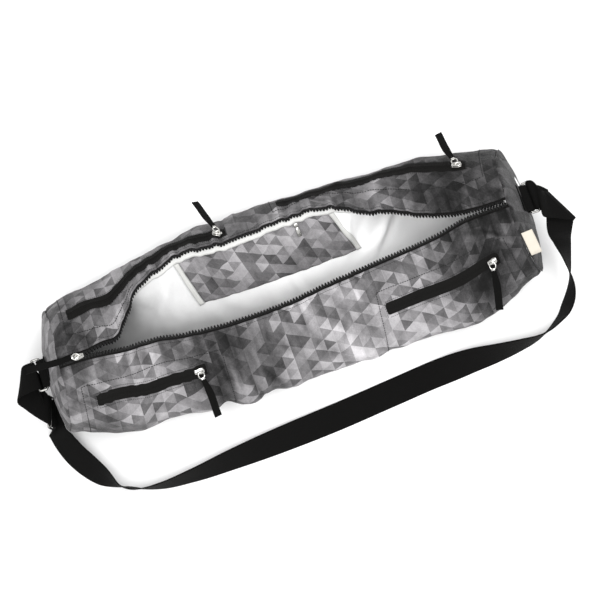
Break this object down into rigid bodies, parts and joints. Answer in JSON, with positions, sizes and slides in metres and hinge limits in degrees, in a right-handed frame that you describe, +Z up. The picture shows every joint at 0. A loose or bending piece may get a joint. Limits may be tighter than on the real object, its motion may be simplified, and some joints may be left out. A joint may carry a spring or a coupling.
{
  "type": "yoga mat bag",
  "caption": "Long round-ended mat bag lying unzipped, with outside zip pockets, a pale lining with an inner pocket, and a webbing shoulder strap.",
  "frame": {"origin": "middle of the resting face under the bag", "axes": "X along the bag to its right end, Y to its back, Z up"},
  "size_m": [0.7799, 0.3382, 0.1693],
  "materials": {
    "printed_cloth": "woven cloth printed with grey triangles",
    "lining": "pale grey lining cloth with a soft sheen",
    "facing": "pale grey binding cloth",
    "zip_tape": "black knitted zip tape",
    "zip_teeth": "black moulded teeth",
    "webbing": "black woven webbing",
    "metal": "polished nickel-plated metal",
    "label": "cream cotton tape"
  },
  "bodies": {
    "root": {"pocket_zip_tape_front_left": "zip_tape", "pocket_zip_tape_front_right": "zip_tape", "front_panel": "printed_cloth", "pocket_zip_tape_back_left": "zip_tape", "pocket_zip_tape_back_right": "zip_tape", "back_panel": "printed_cloth", "lining_front": "lining", "lining_back": "lining", "facing_back": "facing", "inner_pocket": "printed_cloth", "inner_pocket_binding_left": "facing", "inner_pocket_binding_right": "facing", "end_panel_left": "printed_cloth", "lining_end_left": "lining", "end_panel_right": "printed_cloth", "lining_end_right": "lining", "zip_tape_front": "zip_tape", "zip_teeth_front": "zip_teeth", "zip_tape_back": "zip_tape", "zip_teeth_back": "zip_teeth", "pocket_zip_front_left_slider": "metal", "pocket_zip_front_left_ring": "metal", "pocket_zip_front_left_pull": "webbing", "pocket_zip_front_right_slider": "metal", "pocket_zip_front_right_ring": "metal", "pocket_zip_front_right_pull": "webbing", "pocket_zip_back_left_slider": "metal", "pocket_zip_back_left_ring": "metal", "pocket_zip_back_left_pull": "webbing", "pocket_zip_back_right_slider": "metal", "pocket_zip_back_right_ring": "metal", "pocket_zip_back_right_pull": "webbing", "main_slider": "metal", "main_ring": "metal", "main_pull": "webbing", "strap_tab_left": "webbing", "ring_left": "metal", "strap_tab_right": "webbing", "ring_right": "metal", "strap_slider": "metal", "shoulder_strap": "webbing", "label": "label"}
  },
  "joints": []
}
